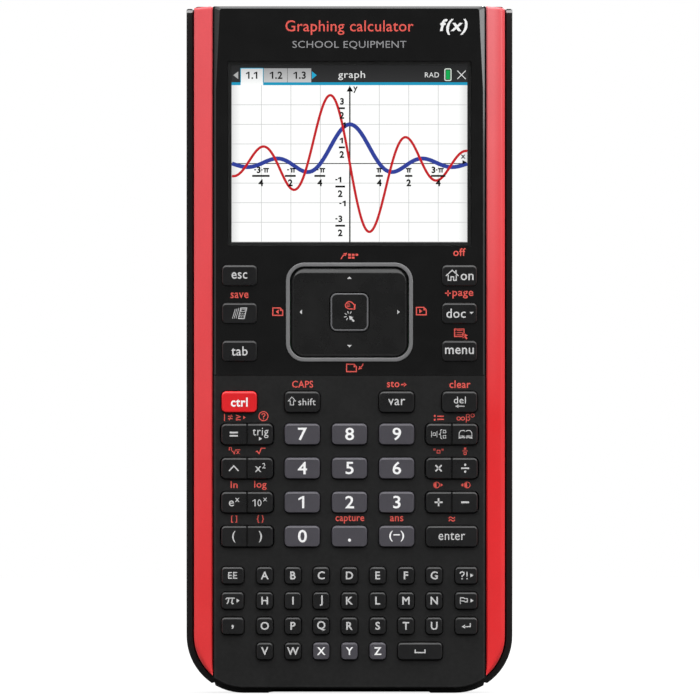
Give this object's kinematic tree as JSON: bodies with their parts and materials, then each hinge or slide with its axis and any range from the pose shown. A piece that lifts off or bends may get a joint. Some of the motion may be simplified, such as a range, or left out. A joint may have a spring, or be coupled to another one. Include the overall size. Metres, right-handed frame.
{
  "type": "graphing calculator",
  "caption": "Handheld graphing calculator with colour screen, clicking touchpad, full keypad with letter keys, and a hard slide-on cover stowed on its back.",
  "frame": {"origin": "middle of the footprint, at the foot of the closed end of the slide cover", "axes": "+Z towards the top end with the screen, -Y out of the keypad face, +X to the viewer's right"},
  "size_m": [0.09, 0.018, 0.1893],
  "materials": {
    "case_plastic": "fine matte texture",
    "fascia_plastic": "polished",
    "trim_plastic": "satin",
    "key_plastic": "satin with a lighter edge",
    "number_key_plastic": "satin",
    "red_key_plastic": "satin",
    "ring_plastic": "satin",
    "window": "clear",
    "screen": "lit image",
    "foam": "foam",
    "silicone": "matt",
    "carbon": "matt",
    "steel": "pressed",
    "screw_steel": "blackened",
    "circuit_board": "solder mask",
    "flex": "film",
    "contact_block": "with gilded contacts",
    "battery_wrap": "film wrap",
    "wire": "wire sleeve",
    "pivot_plastic": "plain"
  },
  "bodies": {
    "handheld": {"front_housing": "case_plastic", "upper_fascia": "fascia_plastic", "side_trim_left": "trim_plastic", "side_trim_right": "trim_plastic", "display_window": "window", "window_gasket": "foam", "lcd_panel": "screen", "lcd_frame": "steel", "lcd_flex": "flex", "main_board": "circuit_board", "usb_port": "steel", "dock_connector": "contact_block", "keypad_mat": "silicone", "carbon_pills": "carbon", "touchpad_ring": "ring_plastic", "battery_pack": "battery_wrap", "battery_lead": "wire", "battery_cover": "case_plastic", "battery_screws": "screw_steel", "rear_housing": "case_plastic", "housing_screws": "screw_steel"},
    "slide_cover": {"slide_cover": "case_plastic"},
    "touchpad_gimbal": {"touchpad_gimbal": "pivot_plastic"},
    "touchpad": {"touchpad": "key_plastic"},
    "click_button": {"click_button": "key_plastic"},
    "reset_button": {"reset_button": "pivot_plastic"},
    "key_equals_trig": {"key_equals_trig": "key_plastic"},
    "key_power_square": {"key_power_square": "key_plastic"},
    "key_exponents": {"key_exponents": "key_plastic"},
    "key_brackets": {"key_brackets": "key_plastic"},
    "key_template_catalog": {"key_template_catalog": "key_plastic"},
    "key_times_divide": {"key_times_divide": "key_plastic"},
    "key_plus_minus": {"key_plus_minus": "key_plastic"},
    "key_esc": {"key_esc": "key_plastic"},
    "key_notes": {"key_notes": "key_plastic"},
    "key_tab": {"key_tab": "key_plastic"},
    "key_on": {"key_on": "key_plastic"},
    "key_doc": {"key_doc": "key_plastic"},
    "key_menu": {"key_menu": "key_plastic"},
    "key_ctrl": {"key_ctrl": "red_key_plastic"},
    "key_shift": {"key_shift": "key_plastic"},
    "key_var": {"key_var": "key_plastic"},
    "key_del": {"key_del": "key_plastic"},
    "key_7": {"key_7": "number_key_plastic"},
    "key_8": {"key_8": "number_key_plastic"},
    "key_9": {"key_9": "number_key_plastic"},
    "key_4": {"key_4": "number_key_plastic"},
    "key_5": {"key_5": "number_key_plastic"},
    "key_6": {"key_6": "number_key_plastic"},
    "key_1": {"key_1": "number_key_plastic"},
    "key_2": {"key_2": "number_key_plastic"},
    "key_3": {"key_3": "number_key_plastic"},
    "key_0": {"key_0": "number_key_plastic"},
    "key_point": {"key_point": "number_key_plastic"},
    "key_negate": {"key_negate": "number_key_plastic"},
    "key_enter": {"key_enter": "key_plastic"},
    "letter_row_1": {"letter_row_1": "key_plastic"},
    "letter_row_2": {"letter_row_2": "key_plastic"},
    "letter_row_3": {"letter_row_3": "key_plastic"},
    "letter_row_4": {"letter_row_4": "key_plastic"}
  },
  "joints": [
    {"name": "cover_slide", "type": "slide", "parent": "handheld", "child": "slide_cover", "axis": [0, 0, -1], "range_m": [0, 0.19]},
    {"name": "pad_tilt_up_down", "type": "hinge", "parent": "handheld", "child": "touchpad_gimbal", "pos_m": [0, -0.0051, 0.105], "axis": [1, 0, 0], "range_deg": [-1.2, 1.2], "stiffness_Nm_per_rad": 0.01},
    {"name": "pad_tilt_sides", "type": "hinge", "parent": "touchpad_gimbal", "child": "touchpad", "pos_m": [0, -0.0051, 0.105], "axis": [0, 0, 1], "range_deg": [-1.2, 1.2], "stiffness_Nm_per_rad": 0.01},
    {"name": "click_press", "type": "slide", "parent": "touchpad", "child": "click_button", "axis": [0, 1, 0], "range_m": [0, 0.0004], "stiffness_N_per_m": 150, "springref_m": -0.001},
    {"name": "reset_press", "type": "slide", "parent": "handheld", "child": "reset_button", "axis": [0, -1, 0], "range_m": [0, 0.0005], "stiffness_N_per_m": 20, "springref_m": -0.001},
    {"name": "rock_equals_trig", "type": "hinge", "parent": "handheld", "child": "key_equals_trig", "pos_m": [-0.0282, -0.0055, 0.0714], "axis": [0, 0, 1], "range_deg": [-3.5, 3.5], "stiffness_Nm_per_rad": 0.002},
    {"name": "rock_power_square", "type": "hinge", "parent": "handheld", "child": "key_power_square", "pos_m": [-0.0282, -0.0055, 0.06202], "axis": [0, 0, 1], "range_deg": [-3.5, 3.5], "stiffness_Nm_per_rad": 0.002},
    {"name": "rock_exponents", "type": "hinge", "parent": "handheld", "child": "key_exponents", "pos_m": [-0.0282, -0.0055, 0.05264], "axis": [0, 0, 1], "range_deg": [-3.5, 3.5], "stiffness_Nm_per_rad": 0.002},
    {"name": "rock_brackets", "type": "hinge", "parent": "handheld", "child": "key_brackets", "pos_m": [-0.0282, -0.0055, 0.04326], "axis": [0, 0, 1], "range_deg": [-3.5, 3.5], "stiffness_Nm_per_rad": 0.002},
    {"name": "rock_template_catalog", "type": "hinge", "parent": "handheld", "child": "key_template_catalog", "pos_m": [0.0282, -0.0055, 0.0714], "axis": [0, 0, 1], "range_deg": [-3.5, 3.5], "stiffness_Nm_per_rad": 0.002},
    {"name": "rock_times_divide", "type": "hinge", "parent": "handheld", "child": "key_times_divide", "pos_m": [0.0282, -0.0055, 0.06202], "axis": [0, 0, 1], "range_deg": [-3.5, 3.5], "stiffness_Nm_per_rad": 0.002},
    {"name": "rock_plus_minus", "type": "hinge", "parent": "handheld", "child": "key_plus_minus", "pos_m": [0.0282, -0.0055, 0.05264], "axis": [0, 0, 1], "range_deg": [-3.5, 3.5], "stiffness_Nm_per_rad": 0.002},
    {"name": "press_esc", "type": "slide", "parent": "handheld", "child": "key_esc", "axis": [0, 1, 0], "range_m": [0, 0.0007], "stiffness_N_per_m": 150, "springref_m": -0.001},
    {"name": "press_notes", "type": "slide", "parent": "handheld", "child": "key_notes", "axis": [0, 1, 0], "range_m": [0, 0.0007], "stiffness_N_per_m": 150, "springref_m": -0.001},
    {"name": "press_tab", "type": "slide", "parent": "handheld", "child": "key_tab", "axis": [0, 1, 0], "range_m": [0, 0.0007], "stiffness_N_per_m": 150, "springref_m": -0.001},
    {"name": "press_on", "type": "slide", "parent": "handheld", "child": "key_on", "axis": [0, 1, 0], "range_m": [0, 0.0007], "stiffness_N_per_m": 150, "springref_m": -0.001},
    {"name": "press_doc", "type": "slide", "parent": "handheld", "child": "key_doc", "axis": [0, 1, 0], "range_m": [0, 0.0007], "stiffness_N_per_m": 150, "springref_m": -0.001},
    {"name": "press_menu", "type": "slide", "parent": "handheld", "child": "key_menu", "axis": [0, 1, 0], "range_m": [0, 0.0007], "stiffness_N_per_m": 150, "springref_m": -0.001},
    {"name": "press_ctrl", "type": "slide", "parent": "handheld", "child": "key_ctrl", "axis": [0, 1, 0], "range_m": [0, 0.0007], "stiffness_N_per_m": 150, "springref_m": -0.001},
    {"name": "press_shift", "type": "slide", "parent": "handheld", "child": "key_shift", "axis": [0, 1, 0], "range_m": [0, 0.0007], "stiffness_N_per_m": 150, "springref_m": -0.001},
    {"name": "press_var", "type": "slide", "parent": "handheld", "child": "key_var", "axis": [0, 1, 0], "range_m": [0, 0.0007], "stiffness_N_per_m": 150, "springref_m": -0.001},
    {"name": "press_del", "type": "slide", "parent": "handheld", "child": "key_del", "axis": [0, 1, 0], "range_m": [0, 0.0007], "stiffness_N_per_m": 150, "springref_m": -0.001},
    {"name": "press_7", "type": "slide", "parent": "handheld", "child": "key_7", "axis": [0, 1, 0], "range_m": [0, 0.0007], "stiffness_N_per_m": 150, "springref_m": -0.001},
    {"name": "press_8", "type": "slide", "parent": "handheld", "child": "key_8", "axis": [0, 1, 0], "range_m": [0, 0.0007], "stiffness_N_per_m": 150, "springref_m": -0.001},
    {"name": "press_9", "type": "slide", "parent": "handheld", "child": "key_9", "axis": [0, 1, 0], "range_m": [0, 0.0007], "stiffness_N_per_m": 150, "springref_m": -0.001},
    {"name": "press_4", "type": "slide", "parent": "handheld", "child": "key_4", "axis": [0, 1, 0], "range_m": [0, 0.0007], "stiffness_N_per_m": 150, "springref_m": -0.001},
    {"name": "press_5", "type": "slide", "parent": "handheld", "child": "key_5", "axis": [0, 1, 0], "range_m": [0, 0.0007], "stiffness_N_per_m": 150, "springref_m": -0.001},
    {"name": "press_6", "type": "slide", "parent": "handheld", "child": "key_6", "axis": [0, 1, 0], "range_m": [0, 0.0007], "stiffness_N_per_m": 150, "springref_m": -0.001},
    {"name": "press_1", "type": "slide", "parent": "handheld", "child": "key_1", "axis": [0, 1, 0], "range_m": [0, 0.0007], "stiffness_N_per_m": 150, "springref_m": -0.001},
    {"name": "press_2", "type": "slide", "parent": "handheld", "child": "key_2", "axis": [0, 1, 0], "range_m": [0, 0.0007], "stiffness_N_per_m": 150, "springref_m": -0.001},
    {"name": "press_3", "type": "slide", "parent": "handheld", "child": "key_3", "axis": [0, 1, 0], "range_m": [0, 0.0007], "stiffness_N_per_m": 150, "springref_m": -0.001},
    {"name": "press_0", "type": "slide", "parent": "handheld", "child": "key_0", "axis": [0, 1, 0], "range_m": [0, 0.0007], "stiffness_N_per_m": 150, "springref_m": -0.001},
    {"name": "press_point", "type": "slide", "parent": "handheld", "child": "key_point", "axis": [0, 1, 0], "range_m": [0, 0.0007], "stiffness_N_per_m": 150, "springref_m": -0.001},
    {"name": "press_negate", "type": "slide", "parent": "handheld", "child": "key_negate", "axis": [0, 1, 0], "range_m": [0, 0.0007], "stiffness_N_per_m": 150, "springref_m": -0.001},
    {"name": "press_enter", "type": "slide", "parent": "handheld", "child": "key_enter", "axis": [0, 1, 0], "range_m": [0, 0.0007], "stiffness_N_per_m": 150, "springref_m": -0.001},
    {"name": "press_letters_1", "type": "slide", "parent": "handheld", "child": "letter_row_1", "axis": [0, 1, 0], "range_m": [0, 0.0007], "stiffness_N_per_m": 150, "springref_m": -0.001},
    {"name": "press_letters_2", "type": "slide", "parent": "handheld", "child": "letter_row_2", "axis": [0, 1, 0], "range_m": [0, 0.0007], "stiffness_N_per_m": 150, "springref_m": -0.001},
    {"name": "press_letters_3", "type": "slide", "parent": "handheld", "child": "letter_row_3", "axis": [0, 1, 0], "range_m": [0, 0.0007], "stiffness_N_per_m": 150, "springref_m": -0.001},
    {"name": "press_letters_4", "type": "slide", "parent": "handheld", "child": "letter_row_4", "axis": [0, 1, 0], "range_m": [0, 0.0007], "stiffness_N_per_m": 150, "springref_m": -0.001}
  ]
}
